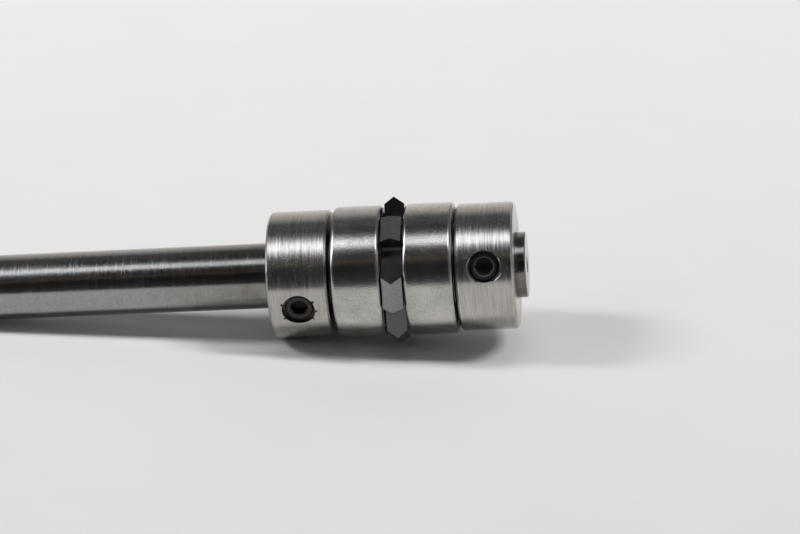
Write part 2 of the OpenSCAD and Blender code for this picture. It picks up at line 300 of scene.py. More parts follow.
def make_painted_hole_shading():
    """Painted shading inside a hole drilled towards the axis at that turn, up to just under the rim:
    shade in holes and sockets, a dim sheen at a socket's mouth.
    """
    tree, given, out = shader_group("painted_hole_shading", ("Middle", "Turn", "Width", "Rim"), ("Mask",))
    xyz = parts(tree, object_point(tree))
    along = calc(tree, "-", xyz[0], given["Middle"])
    across = calc(
        tree, "+", calc(tree, "*", xyz[1], calc(tree, "COSINE", given["Turn"])),
        calc(tree, "*", xyz[2], calc(tree, "SINE", given["Turn"])),
    )
    squares = [calc(tree, "*", part, part) for part in (along, across)]
    away = calc(tree, "-", given["Width"], calc(tree, "SQRT", calc(tree, "+", *squares)))
    depth = calc(tree, "-", given["Rim"], off_axis(tree, xyz))
    masks = ramp(tree, away, 0.0, 0.00002), ramp(tree, depth, 0.00002, 0.0001)
    tree.links.new(calc(tree, "*", *masks), out["Mask"])
    return tree


GROUPS = {
    "tool_lines": make_tool_lines(),
    "scratches": make_scratches(),
    "grain": make_grain(),
    "handling": make_handling(),
    "painted_slit_shade": make_painted_slit_shade(),
    "painted_hole_shading": make_painted_hole_shading(),
}


def effect(tree, name, **values):
    """One of the shared groups, placed in a material with its own values."""
    inputs = {key.title(): value for key, value in values.items()}
    return add(tree, "ShaderNodeGroup", inputs, node_tree=GROUPS[name]).outputs


def blended(tree, mask, low, high):
    """The colour between low and high that mask gives."""
    ends = [v if isinstance(v, bpy.types.NodeSocket) else (*v, 1.0) for v in (low, high)]
    return add(tree, "ShaderNodeMix", {0: mask, 6: ends[0], 7: ends[1]}, data_type="RGBA").outputs[2]


# The middle of each slit between a collar and a ring, and half the width that gets painted shade
SLITS = {
    "rear": ((COLLAR["rear"][1] + BEARING["rear"][0]) / 2, 0.27),
    "nose": ((COLLAR["nose"][0] + BEARING["nose"][1]) / 2, 0.2),
}


def metal(
    name, light, dark, roughness, line=None, line_height=0.0, waver=0.02, grain=None,
    grain_height=0.0, stretch=1.0, rim=0.0, scratch=None, lengthwise=0.0, smudge=0.0,
    metallic=1.0, slit_shade_rim=None, hole_shading=(), stain_and_shade=None, lands=None, roots=None,
):
    """A worked metal, with sizes and heights in millimetres.

    roughness is (least, most), scratch (width, length, share, depth), and lengthwise its anisotropy.
    slit_shade_rim is the radius that the slits' painted shade reaches, and each of hole_shading (a width
    for each end, radius, colour) paints shade into the screw holes and a dim sheen at a socket's mouth.
    stain_and_shade is (start, full, colour): a brown stain towards the collar that also paints the shade
    there. lands are the colours of faces that lean along the shaft, and roots (clear radius, packed
    radius, colour) is dust in the wheel's gullets, partly painted light that lightens them.
    """
    material = bpy.data.materials.new(name)
    material.use_nodes = True
    tree = material.node_tree
    shader = tree.nodes["Principled BSDF"]
    shader.inputs["Metallic"].default_value = metallic
    shader.inputs["Anisotropic"].default_value = lengthwise
    smudges = effect(tree, "handling", size=SMUDGE_SIZE * MM)["Smudge"]
    tint, rough, bump = smudges, calc(tree, "*", smudges, smudge), None

    def mixed(first, share, second, other):
        return calc(tree, "+", calc(tree, "*", first, share), calc(tree, "*", second, other))

    def plus(value, mark, share):
        return calc(tree, "+", value, calc(tree, "*", mark, share))

    def raised(height, depth):
        inputs = {"Height": height, "Distance": depth * MM, "Strength": 1.0}
        if bump is not None:
            inputs["Normal"] = bump
        return add(tree, "ShaderNodeBump", inputs).outputs["Normal"]

    if line:
        lines = effect(tree, "tool_lines", spacing=line * MM, waver=waver)
        bump = raised(lines["Height"], line_height)
        streak = ramp(tree, plus(lines["Height"], lines["Band"], 0.4), 0.5, 0.9)
        tint, rough = mixed(tint, 0.3, streak, 0.7), plus(rough, streak, 0.6)
    if grain:
        grit = effect(tree, "grain", size=grain * MM, stretch=stretch, rim=rim * MM)
        bump = raised(grit["Height"], grain_height)
        tint, rough = mixed(tint, 0.5, grit["Sparkle"], 0.5), plus(rough, grit["Sparkle"], 0.25)
    if scratch:
        width, length, share, depth = scratch
        marks = effect(tree, "scratches", width=width * MM, length=length * MM, share=share)["Mask"]
        bump = raised(marks, -depth)
        tint = calc(tree, "+", tint, calc(tree, "*", marks, 0.4), clamp=True)
        rough = plus(rough, marks, 0.5)
    colour = blended(tree, tint, dark, light)
    if lands:
        normal = add(tree, "ShaderNodeTexCoord").outputs["Normal"]
        lean = calc(tree, "ABSOLUTE", parts(tree, normal)[0])
        colour = blended(tree, ramp(tree, lean, 0.4, 0.5), colour, blended(tree, tint, *lands))
    # A brown stain towards the collar that also paints the shade there.
    if stain_and_shade:
        start, full, stain_shade_colour = stain_and_shade
        along = parts(tree, object_point(tree))[0]
        patch = calc(tree, "*", ramp(tree, along, start * MM, full * MM, smooth=True), 0.7)
        patchy = calc(tree, "*", patch, calc(tree, "+", smudges, 0.4))
        colour = blended(tree, patchy, colour, stain_shade_colour)
    # Painted shade and sheen in holes and slits, and gullet dust with painted light, each dulling the
    # metal.
    painted_shade_and_dust, dull = [], None
    # Painted shade in the screw holes and sockets, and a dim painted sheen at a socket's mouth.
    for widths, top, tone_colour in hole_shading:
        masks = [
            effect(
                tree, "painted_hole_shading", middle=sum(COLLAR[end][:2]) / 2 * MM,
                turn=math.radians(SCREW_TURN[end]), width=width * MM, rim=top * MM,
            )["Mask"]
            for end, width in zip(COLLAR, widths)
        ]
        painted_shade_and_dust.append((calc(tree, "MAXIMUM", *masks), tone_colour))
    # Painted shade in the slits between a collar and a ring.
    if slit_shade_rim:
        masks = [
            effect(tree, "painted_slit_shade", middle=middle * MM, half=half * MM, rim=slit_shade_rim * MM)["Mask"]
            for middle, half in SLITS.values()
        ]
        painted_shade_and_dust.append((calc(tree, "MAXIMUM", *masks), SLIT_SHADE_COLOUR))
    # Dust in the wheel's gullets, partly painted light that lightens them.
    if roots:
        clear, packed, root_dust_and_light = roots
        radius = off_axis(tree, parts(tree, object_point(tree)))
        painted_shade_and_dust.append((ramp(tree, radius, clear * MM, packed * MM, smooth=True), root_dust_and_light))
    for mask, tone_colour in painted_shade_and_dust:
        colour = blended(tree, mask, colour, tone_colour)
        rough = calc(tree, "+", rough, mask)
        dull = mask if dull is None else calc(tree, "MAXIMUM", dull, mask)
    if painted_shade_and_dust:
        shine_kept = calc(tree, "-", 1.0, calc(tree, "*", dull, SHADE_AND_DUST_DULLS))
        tree.links.new(calc(tree, "*", shine_kept, metallic), shader.inputs["Metallic"])
    least, most = roughness
    span = add(tree, "ShaderNodeMapRange", {"Value": rough, "To Min": least, "To Max": most})
    tree.links.new(span.outputs["Result"], shader.inputs["Roughness"])
    tree.links.new(colour, shader.inputs["Base Color"])
    if bump is not None:
        tree.links.new(bump, shader.inputs["Normal"])
    if lengthwise:
        shader.inputs["Anisotropic Rotation"].default_value = 0.25
        tangent = add(tree, "ShaderNodeTangent", direction_type="RADIAL", axis="X")
        tree.links.new(tangent.outputs["Tangent"], shader.inputs["Tangent"])
    return material


FINISH = {
    "ground_steel": metal(
        "ground_rod_steel", (0.378, 0.372, 0.362), (0.27, 0.265, 0.255), (0.06, 0.2),
        line=0.14, line_height=0.0008, waver=0.05, grain=0.2, grain_height=0.0025, rim=SHAFT_R,
        # stain_and_shade: a brown stain towards the collar, partly painted shade
        scratch=(0.13, 2.2, 0.5, 0.002), smudge=0.3, stain_and_shade=(-14, 0, (0.17, 0.155, 0.13)),
    ),
    "turned_steel": metal(
        "turned_collar_steel", (0.60, 0.573, 0.536), (0.33, 0.314, 0.294), (0.18, 0.33),
        line=0.15, line_height=0.010, waver=0.05, scratch=(1.1, 0.06, 0.22, 0.0012),
        # hole_shading paints shade into the screw holes
        # slit_shade_rim paints shade into the slits
        smudge=0.15, lengthwise=0.9, slit_shade_rim=5.93, hole_shading=[((1.85, 1.56), 6.13, (0.04, 0.036, 0.03))],
    ),
    "bearing_steel": metal(
        "ground_ring_steel", (0.62, 0.597, 0.558), (0.36, 0.346, 0.324), (0.13, 0.24),
        grain=0.14, grain_height=0.007, stretch=1.2, rim=BEARING["rear"][2],
        # slit_shade_rim paints shade into the slits
        scratch=(0.5, 0.07, 0.14, 0.003), smudge=0.2, lengthwise=0.4, slit_shade_rim=5.9,
    ),
    "tool_steel": metal(
        "ground_wheel_steel", (0.135, 0.132, 0.126), (0.095, 0.093, 0.088), (0.1, 0.22),
        grain=0.17, grain_height=0.0008, scratch=(1.2, 0.07, 0.35, 0.0008),
        smudge=0.3, metallic=0.88, lands=((0.185, 0.182, 0.176), (0.3, 0.296, 0.287)),
        # roots: dust in the gullets, partly painted light that lightens them
        roots=(5.5, 4.7, (0.13, 0.122, 0.108)),
    ),
    "black_oxide": metal(
        "black_oxide_screw", (0.045, 0.045, 0.046), (0.018, 0.018, 0.019), (0.3, 0.5),
        grain=0.06, grain_height=0.0004, smudge=0.4, metallic=0.5,
        # hole_shading paints shade inside the socket and a dim sheen round its mouth
        hole_shading=[((0.99, 0.99), 5.95, (0.08, 0.076, 0.068)), ((0.91, 0.91), 5.75, (0.01, 0.009, 0.008))],
    ),
    "pressed_steel": metal(
        "pressed_shield_steel", (0.40, 0.39, 0.37), (0.30, 0.29, 0.27), (0.24, 0.4),
        line=0.2, line_height=0.0006, smudge=0.3,
    ),
    "shim_steel": metal(
        "rolled_shim_steel", (0.20, 0.19, 0.18), (0.13, 0.125, 0.12), (0.3, 0.45),
        grain=0.08, grain_height=0.0004, smudge=0.3,
    ),
}


# ---- table and light ----


TABLE_HALF = 1.5  # in metres


def table_material():
    """A white matt table with painted light that makes it a little lighter towards the back. Metal sees
    its near side unlit.
    """
    material = bpy.data.materials.new("white_table")
    material.use_nodes = True
    tree = material.node_tree
    shader = tree.nodes["Principled BSDF"]
    shader.inputs["Roughness"].default_value = 0.9
    shader.inputs["Specular IOR Level"].default_value = 0.1
    point = object_point(tree)
    back = parts(tree, point)[1]
    # Painted light: the table is lighter towards the back
    depth = ramp(tree, back, -0.05, 0.1)
    mottle = noise(tree, point, 90.0, 5.0, 0.6)
    shade = calc(tree, "+", depth, calc(tree, "*", calc(tree, "-", mottle, 0.5), 0.25))
    white = blended(tree, shade, (0.765, 0.765, 0.76), (0.915, 0.915, 0.915))
    reflected = add(tree, "ShaderNodeLightPath").outputs["Is Glossy Ray"]
    unlit = calc(tree, "*", reflected, ramp(tree, back, -0.03, -0.2, smooth=True))
    tree.links.new(blended(tree, unlit, white, (0.1, 0.1, 0.1)), shader.inputs["Base Color"])
    return material


def make_table():
    """The table touches the rear collar's rim and the rim of the shank's free end."""
    rear_x, _, rear_r = COLLAR["rear"]
    rear_x += COLLAR_CHAMFER
    shank_x = SHAFT_START + SHAFT_CHAMFER
    slope = (rear_r - SHAFT_R) / (rear_x - shank_x)
    corners = [(sx * TABLE_HALF, sy * TABLE_HALF) for sx, sy in ((-1, -1), (1, -1), (1, 1), (-1, 1))]
    points = [(x, y, (-rear_r - slope * (x / MM - rear_x)) * MM) for x, y in corners]
    mesh = bpy.data.meshes.new("table")
    mesh.from_pydata(points, [], [(0, 1, 2, 3)])
    table = bpy.data.objects.new("table", mesh)
    bpy.context.scene.collection.objects.link(table)
    mesh.materials.append(table_material())


LIT_PLACE = Vector((0.012, 0, 0))
# name, turn about the shaft and lean along it in degrees, distance, width and length in metres, watts
SOFT_BOXES = [
    ("nose_soft_box", 6, 43.5, 2.4, 0.34, 0.9, 29.0),
    ("shank_soft_box", 8.4, -42, 0.9, 0.15, 0.25, 2.75),
    ("low_soft_box", 40, -39.3, 0.9, 0.564, 0.2, 0.75),
    ("top_soft_box", -1.5, 5.5, 0.9, 0.15, 0.5, 1.55),
]


def area_light(name, turn, sideways, distance, width, length, power):
    """A soft box facing the stack. Metal sees its glow in the surroundings instead."""
    data = bpy.data.lights.new(name, "AREA")
    data.shape = "RECTANGLE"
    data.size, data.size_y = length, width
    data.energy = power
    light = bpy.data.objects.new(name, data)
    bpy.context.scene.collection.objects.link(light)
    away = Matrix.Rotation(math.radians(turn), 3, "X") @ Matrix.Rotation(math.radians(sideways), 3, "Y")
    light.matrix_world = Matrix.Translation(away @ (UP * distance) + LIT_PLACE) @ away.to_4x4()
    light.visible_glossy = False


# What polished metal sees, straight out from the shaft and towards its two ends:
# (turn from straight up towards -Y, brightness, warmth where it has any)
OVER_THE_SHAFT = [
    (-180, 0.8), (-88, 0.84, 0.05), (-74, 0.73, 0.12), (-62, 0.62, 0.15), (-54, 0.49, 0.12),
    (-47, 0.32), (-41, 0.17), (-35, 0.11), (-29, 0.125), (-21, 0.1, -0.1), (-14, 0.06, -0.2),
    (-4, 0.07, -0.2), (3, 0.3, -0.2), (8, 1.1, -0.2), (12, 1.6, -0.2), (17, 1.6, -0.2), (21, 1.2, -0.2),
    (25, 0.3, -0.2), (28, 0.07, -0.2), (38, 0.05), (45, 0.045, 0.3), (46.5, 0.05, 0.5), (49, 0.12, 1.0),
    (51.5, 0.03, 0.5), (56, 0.02), (70, 0.022), (80, 0.04), (90, 0.09), (96, 0.6), (180, 0.75),
]
TOWARDS_SHANK = [
    (-180, 0.7), (-90, 0.5), (-58, 0.2), (-34, 0.18), (-20, 0.3, -0.1), (-10, 1.4, -0.2),
    (-3, 3.6, -0.2), (26, 3.6, -0.2), (33, 0.3, -0.1), (40, 0.12), (60, 0.06), (88, 0.1), (96, 0.6),
    (180, 0.75),
]
TOWARDS_NOSE = [
    (-180, 0.7), (-90, 0.5), (-56, 0.2), (-20, 0.2), (-6, 0.35), (-1, 1.4, -0.1), (4, 3.7, -0.1),
    (25, 3.7, -0.1), (29, 0.3, -0.1), (33, 0.2), (60, 0.12), (88, 0.12), (96, 0.6), (180, 0.75),
]
PAST_THE_NOSE = [
    (-180, 0.7), (-90, 0.5), (-56, 0.2), (-10, 0.25), (6, 0.6, -0.1), (24, 0.6, -0.1), (34, 0.25),
    (60, 0.15), (88, 0.15), (96, 0.6), (180, 0.75),
]
# Each side's bands, and where along the shaft's direction they begin and are full
ASIDE = [(TOWARDS_SHANK, -0.2, -0.5), (TOWARDS_NOSE, 0.0, 0.3), (PAST_THE_NOSE, 0.4, 0.65)]
AMBIENT_BEHIND = 0.52
BACKGROUND = 0.80


def bands(tree, share, levels, brightest):
    """A colour ramp round the shaft from those levels."""
    made = add(tree, "ShaderNodeValToRGB", {0: share})
    stops = made.color_ramp.elements
    while len(stops) < len(levels):
        stops.new(0.5)
    for stop, (turn, level, *warmth) in zip(stops, levels):
        stop.position = (turn + 180) / 360
        level, warmth = level / brightest, sum(warmth)
        stop.color = (level * (1 + 0.25 * warmth), level, level * (1 - 0.3 * warmth), 1)
    return made.outputs["Color"]


def make_surroundings():
    """The world: soft light for matt things, a pale background, and bands for polished metal."""
    world = bpy.data.worlds.new("studio")
    bpy.context.scene.world = world
    world.use_nodes = True
    world.cycles.sampling_method = "NONE"
    tree = world.node_tree
    tree.nodes.clear()
    ray = add(tree, "ShaderNodeLightPath").outputs
    xyz = parts(tree, add(tree, "ShaderNodeTexCoord").outputs["Generated"])
    turn = calc(tree, "ARCTAN2", calc(tree, "*", xyz[1], -1.0), xyz[2])
    share = ramp(tree, turn, -math.pi, math.pi)
    tables = [OVER_THE_SHAFT] + [levels for levels, _, _ in ASIDE]
    brightest = max(level for levels in tables for _, level, *_ in levels)
    seen = bands(tree, share, OVER_THE_SHAFT, brightest)
    for levels, start, full in ASIDE:
        aside = ramp(tree, xyz[0], start, full, smooth=True)
        seen = blended(tree, aside, seen, bands(tree, share, levels, brightest))
    behind = calc(tree, "*", ramp(tree, xyz[1], 0.42, 0.65, smooth=True), AMBIENT_BEHIND)
    glossy = add(tree, "ShaderNodeBackground", {"Color": seen, "Strength": brightest})
    pale = add(tree, "ShaderNodeBackground", {"Color": (1, 1, 0.995, 1), "Strength": BACKGROUND})
    matt = add(tree, "ShaderNodeBackground", {"Color": (1, 0.99, 0.97, 1), "Strength": behind})
    direct = calc(tree, "LESS_THAN", ray["Diffuse Depth"], 0.5)
    polished = calc(tree, "*", ray["Is Glossy Ray"], direct)
    lit = add(tree, "ShaderNodeMixShader", {0: polished, 1: matt.outputs[0], 2: glossy.outputs[0]})
    ends = {1: lit.outputs[0], 2: pale.outputs[0]}
    shown = add(tree, "ShaderNodeMixShader", {0: ray["Is Camera Ray"], **ends})
    add(tree, "ShaderNodeOutputWorld", {"Surface": shown.outputs[0]})


make_table()
make_surroundings()
for box in SOFT_BOXES:
    area_light(*box)
bpy.context.scene.view_settings.view_transform = "Standard"


# ---- making meshes ----


def coated(mesh, material):
    """mesh with that material alone."""
    mesh.materials.clear()
    mesh.materials.append(material)
    return mesh


def linked(name, mesh, material):
    """An object of that mesh, in the scene."""
    piece = bpy.data.objects.new(name, coated(mesh, material))
    bpy.context.scene.collection.objects.link(piece)
    return piece


def meshed(bm, name):
    """The finished mesh of a bmesh, closed and with its faces outwards."""
    bmesh.ops.remove_doubles(bm, verts=bm.verts, dist=1e-7)
    bmesh.ops.recalc_face_normals(bm, faces=bm.faces)
    mesh = bpy.data.meshes.new(name)
    bm.to_mesh(mesh)
    bm.free()
    return mesh


def smoothed(mesh, angle=28):
    """mesh, shaded smooth except at edges sharper than angle."""
    mesh.shade_smooth()
    mesh.set_sharp_from_angle(angle=math.radians(angle))
    return mesh


def true_rim(mesh, r):
    """Shades a rim of that radius as the round it is, whatever was cut through it."""
    normals = [Vector(corner.vector) for corner in mesh.corner_normals]
    for face in mesh.polygons:
        points = [mesh.vertices[k].co for k in face.vertices]
        if all(abs(math.hypot(p.y, p.z) / MM - r) < 0.005 for p in points):
            for loop, p in zip(face.loop_indices, points):
                normals[loop] = Vector((0, p.y, p.z)).normalized()
    mesh.normals_split_custom_set(normals)


def rounded(corners, steps, guard):
    """A section's points in millimetres, from corners (x, radius, rounding).

    guard sets a point just off each rounding, which keeps the flat beside it flat when shaded.
    """
    made, count = [], len(corners)
    for i, (x, r, size) in enumerate(corners):
        here = Vector((x, r))
        if not size:
            made.append(here)
            continue
        before = Vector(corners[i - 1][:2]) - here
        after = Vector(corners[(i + 1) % count][:2]) - here
        back, on = before.normalized(), after.normalized()
        half = before.angle(after) / 2
        tangent = size / math.tan(half)
        start, stop = here + back * tangent, here + on * tangent
        centre = here + (back + on).normalized() * size / math.sin(half)
        if before.length - tangent > 4 * guard:
            made.append(start + back * guard)
        first, last = start - centre, stop - centre
        sweep = first.angle_signed(last)
        for k in range(steps + 1):
            made.append(centre + Matrix.Rotation(-sweep * k / steps, 2) @ first)
        if after.length - tangent > 4 * guard:
            made.append(stop + on * guard)
    return made


def turned(section, closed=True, segments=SEGMENTS):
    """A bmesh turned about the shaft from (x, radius) points. One on the axis is a pole."""
    bm = bmesh.new()
    rings = []
    for x, r in section:
        if r < 1e-6:
            rings.append([bm.verts.new((x * MM, 0, 0))])
            continue
        rings.append([
            bm.verts.new((x * MM, -r * MM * math.sin(a), r * MM * math.cos(a)))
            for a in (2 * math.pi * k / segments for k in range(segments))
        ])
    following = rings[1:] + rings[:1] if closed else rings[1:]
    for one, two in zip(rings, following):
        for k in range(segments):
            n = (k + 1) % segments
            corner = [one[k % len(one)], one[n % len(one)], two[n % len(two)], two[k % len(two)]]
            corner = list(dict.fromkeys(corner))
            if len(corner) > 2:
                bm.faces.new(corner)
    return bm


def turned_piece(name, corners, finish, steps, guard=0.02, closed=True):
    """A piece turned about the shaft, from its section's corners (x, radius, rounding)."""
    mesh = smoothed(meshed(turned(rounded(corners, steps, guard), closed), name))
    return linked(name, mesh, FINISH[finish])


def applied(piece):
    """piece with its modifiers made part of its mesh."""
    bpy.context.view_layer.update()
    graph = bpy.context.evaluated_depsgraph_get()
    mesh = bpy.data.meshes.new_from_object(piece.evaluated_get(graph))
    piece.modifiers.clear()
    piece.data = mesh
    return piece


def cut(piece, cutter):
    """Takes cutter's shape out of piece."""
    modifier = piece.modifiers.new("cut", "BOOLEAN")
    modifier.object, modifier.solver = cutter, "EXACT"
    applied(piece)
    bpy.data.objects.remove(cutter)


def chips(bm):
    """The points of every piece that is loose from the largest one."""
    loose, islands = set(bm.verts), []
    while loose:
        island, edge = [], [loose.pop()]
        while edge:
            point = edge.pop()
            island.append(point)
            near = {e.other_vert(point) for e in point.link_edges} & loose
            loose -= near
            edge += near
        islands.append(island)
    return [point for island in sorted(islands, key=len)[:-1] for point in island]


def capped(bm):
    """Closes every hole in a bmesh."""
    bmesh.ops.holes_fill(bm, edges=[edge for edge in bm.edges if edge.is_boundary], sides=0)


def without_slivers(mesh):
    """Makes the mesh one closed shell, with no sliver, flap or chip that cuts have left."""
    bm = bmesh.new()
    bm.from_mesh(mesh)
    bmesh.ops.remove_doubles(bm, verts=bm.verts, dist=SLIVER * MM)
    bmesh.ops.dissolve_degenerate(bm, edges=bm.edges, dist=SLIVER * MM)
    bmesh.ops.triangulate(bm, faces=[face for face in bm.faces if len(face.verts) > 4])
    bmesh.ops.dissolve_degenerate(bm, edges=bm.edges, dist=SLIVER * MM)
    twins = {}
    for face in bm.faces:
        twins.setdefault(frozenset(face.verts), []).append(face)
    flaps = [face for faces in twins.values() if len(faces) > 1 for face in faces]
    bmesh.ops.delete(bm, geom=flaps, context="FACES")
    capped(bm)
    bmesh.ops.delete(bm, geom=chips(bm), context="VERTS")
    bm.to_mesh(mesh)
    bm.free()


# ---- geometry node trees ----


def geometry_tree(name, sizes=(), counts=()):
    """A geometry tree: itself, its input values and its output sockets."""
    tree = bpy.data.node_groups.new(name, "GeometryNodeTree")
    sockets(tree, "INPUT", ["Geometry"], "NodeSocketGeometry")
    sockets(tree, "INPUT", sizes)
    sockets(tree, "INPUT", counts, "NodeSocketInt")
    sockets(tree, "INPUT", ["Finish"], "NodeSocketMaterial")
    sockets(tree, "OUTPUT", ["Geometry"], "NodeSocketGeometry")
    return tree, tree.nodes.new("NodeGroupInput").outputs, tree.nodes.new("NodeGroupOutput").inputs


def end_tree(tree, geometry, given, out):
    """Every tree ends in real geometry, joined where it meets, with its finish."""
    real = add(tree, "GeometryNodeRealizeInstances", {0: geometry}).outputs[0]
    joined = add(tree, "GeometryNodeMergeByDistance", {"Geometry": real, "Distance": 2e-7}).outputs[0]
    finished = add(tree, "GeometryNodeSetMaterial", {"Geometry": joined, "Material": given["Finish"]})
    tree.links.new(finished.outputs[0], out[0])
    return tree


def make_thread_tree():
    """A screw thread as a tube about Z: a grid wrapped round it, whose radius follows the thread."""
    sizes = "Crest", "Root", "End", "Pitch", "Length", "Start"
    tree, given, out = geometry_tree("thread", sizes, ("Around", "Along"))
    grid = add(tree, "GeometryNodeMeshGrid", {
        "Size X": 1.0, "Size Y": 1.0,
        "Vertices X": calc(tree, "+", given["Around"], 1.0),
        "Vertices Y": calc(tree, "+", given["Along"], 1.0),
    })
    place = parts(tree, add(tree, "GeometryNodeInputPosition").outputs[0])
    share = calc(tree, "+", place[0], 0.5)
    height = calc(tree, "*", calc(tree, "+", place[1], 0.5), given["Length"])
    along = calc(tree, "/", calc(tree, "+", height, given["Start"]), given["Pitch"])
    phase = calc(tree, "FRACT", calc(tree, "-", along, share))
    wave = calc(tree, "ABSOLUTE", calc(tree, "MULTIPLY_ADD", phase, 2.0, -1.0))
    flank = ramp(tree, wave, 0.2, 0.85)
    rise = calc(tree, "-", given["Crest"], given["Root"])
    radius = calc(tree, "MULTIPLY_ADD", flank, rise, given["Root"])
    to_end = calc(tree, "MINIMUM", height, calc(tree, "-", given["Length"], height))
    radius = calc(tree, "MINIMUM", radius, calc(tree, "+", given["End"], to_end))
    angle = calc(tree, "*", share, 2 * math.pi)
    across = [calc(tree, "*", radius, calc(tree, kind, angle)) for kind in ("COSINE", "SINE")]
    target = vector(tree, *across, height)
    tube = add(tree, "GeometryNodeSetPosition", {"Geometry": grid.outputs["Mesh"], "Position": target})
    return end_tree(tree, tube.outputs[0], given, out)


def make_pattern_tree():
    """Copies of one shape, evenly round the shaft."""
    tree, given, out = geometry_tree("round_the_shaft", counts=("Count",))
    points = add(tree, "GeometryNodeMeshLine", {"Count": given["Count"], "Offset": (0, 0, 0)})
    step = calc(tree, "/", 2 * math.pi, given["Count"])
    turn = calc(tree, "*", add(tree, "GeometryNodeInputIndex").outputs[0], step)
    copies = add(tree, "GeometryNodeInstanceOnPoints", {
        "Points": points.outputs[0], "Instance": given["Geometry"],
        "Rotation": vector(tree, turn),
    })
    return end_tree(tree, copies.outputs[0], given, out)


def make_open_ring_tree():
    """An open wire ring of square section about Z, with its gap about +X."""
    tree, given, out = geometry_tree("open_ring", ("Radius", "Width", "Thickness", "Gap"))
    sweep = calc(tree, "-", 2 * math.pi, given["Gap"])
    line = add(tree, "GeometryNodeCurveArc", {
        "Resolution": 180, "Radius": given["Radius"],
        "Start Angle": calc(tree, "/", given["Gap"], 2.0), "Sweep Angle": sweep,
    })
    wire = add(tree, "GeometryNodeCurvePrimitiveQuadrilateral", {
        "Width": given["Width"], "Height": given["Thickness"],
    })
    ring = add(tree, "GeometryNodeCurveToMesh", {
        "Curve": line.outputs[0], "Profile Curve": wire.outputs[0], "Fill Caps": True,
    })
    return end_tree(tree, ring.outputs[0], given, out)


TREES = {
    "thread": make_thread_tree(),
    "round_the_shaft": make_pattern_tree(),
    "open_ring": make_open_ring_tree(),
}


def grown(name, tree_name, finish, mesh=None, **values):
    """An object made by one of the trees, as a plain mesh, from its named inputs."""
    tree = TREES[tree_name]
    piece = bpy.data.objects.new(name, mesh or bpy.data.meshes.new(name))
    bpy.context.scene.collection.objects.link(piece)
    modifier = piece.modifiers.new(tree_name, "NODES")
    modifier.node_group = tree
    keys = {s.name: s.identifier for s in tree.interface.items_tree if s.in_out == "INPUT"}
    for key, value in {**values, "finish": finish}.items():
        modifier[keys[key.title()]] = value
    return applied(piece)


def finish_piece(piece, body, node):
    """Gives a piece its body and the CAD node that it replaces."""
    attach(piece, body)
    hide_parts(node)


# ---- shaft ----


def make_shaft():
    """The rod: chamfered ends, the relief groove, and a centre hole in the nose."""
    relief = COLLAR["rear"][0] + RELIEF_INSET
    mouth = (CENTRE_MOUTH - CENTRE_PILOT) / 2 / math.tan(math.radians(CENTRE_LEAN))
    pilot = mouth + CENTRE_PILOT
    point = pilot + CENTRE_PILOT / 2 / math.tan(math.radians(DRILL_POINT / 2))
    r, end = SHAFT_R, SHAFT_END
    corners = [
        (SHAFT_START, 0, 0), (SHAFT_START, r - SHAFT_CHAMFER, EDGE_BREAK),
        (SHAFT_START + SHAFT_CHAMFER, r, EDGE_BREAK),
        (relief, r, EDGE_BREAK), (relief, r - RELIEF_DEPTH, EDGE_BREAK),
        (relief + RELIEF_WIDTH, r - RELIEF_DEPTH, EDGE_BREAK), (relief + RELIEF_WIDTH, r, EDGE_BREAK),
        (end - NOSE_CHAMFER, r, EDGE_BREAK), (end, r - NOSE_CHAMFER, EDGE_BREAK),
        (end, CENTRE_MOUTH / 2, EDGE_BREAK),
        (end - mouth, CENTRE_PILOT / 2, 0), (end - pilot, CENTRE_PILOT / 2, 0), (end - point, 0, 0),
    ]
    piece = turned_piece("ground_shaft", corners, "ground_steel", steps=3, closed=False)
    finish_piece(piece, "arbor", "shaft")


# ---- collars and set screws ----


TAP_OVERRUN = 0.6
# Points round a thread, rows along a screw, and rows in each turn of a tap
THREAD_AROUND, SCREW_ROWS, TAP_ROWS = 72, 84, 14


def in_hole(end, start=0.0):
    """The matrix that lays a mesh drawn along +Z in a collar's screw hole, outwards from that radius."""
    x0, x1, _ = COLLAR[end]
    stood = Matrix.Translation(((x0 + x1) / 2 * MM, 0, 0))
    turned_out = stood @ Matrix.Rotation(math.radians(SCREW_TURN[end]), 4, "X")
    return turned_out @ Matrix.Translation((0, 0, start * MM))


def tap(end):
    """The shape that a tap takes out of a collar."""
    crest = SCREW_R + THREAD_FIT
    start, stop = SHAFT_R - TAP_OVERRUN, COLLAR[end][2] + TAP_OVERRUN
    rod = grown(
        f"{end}_tap", "thread", None,
        crest=crest * MM, root=(crest - THREAD_DEPTH) * MM, end=1.0,
        pitch=THREAD_PITCH * MM, length=(stop - start) * MM, start=(start - SCREW_TIP_R) * MM,
        around=THREAD_AROUND, along=round((stop - start) / THREAD_PITCH * TAP_ROWS),
    )
    bm = bmesh.new()
    bm.from_mesh(rod.data)
    capped(bm)
    bm.transform(in_hole(end, start))
    rod.data = meshed(bm, f"{end}_tap")
    return rod


def turned_cutter(name, section, at, segments=96):
    """A cutter turned about its own axis, drawn as (height, radius) points and laid at that matrix."""
    bm = turned(section, closed=False, segments=segments)
    bm.transform(at @ Matrix.Rotation(math.radians(-90), 4, "Y"))
    return linked(name, meshed(bm, name), FINISH["turned_steel"])


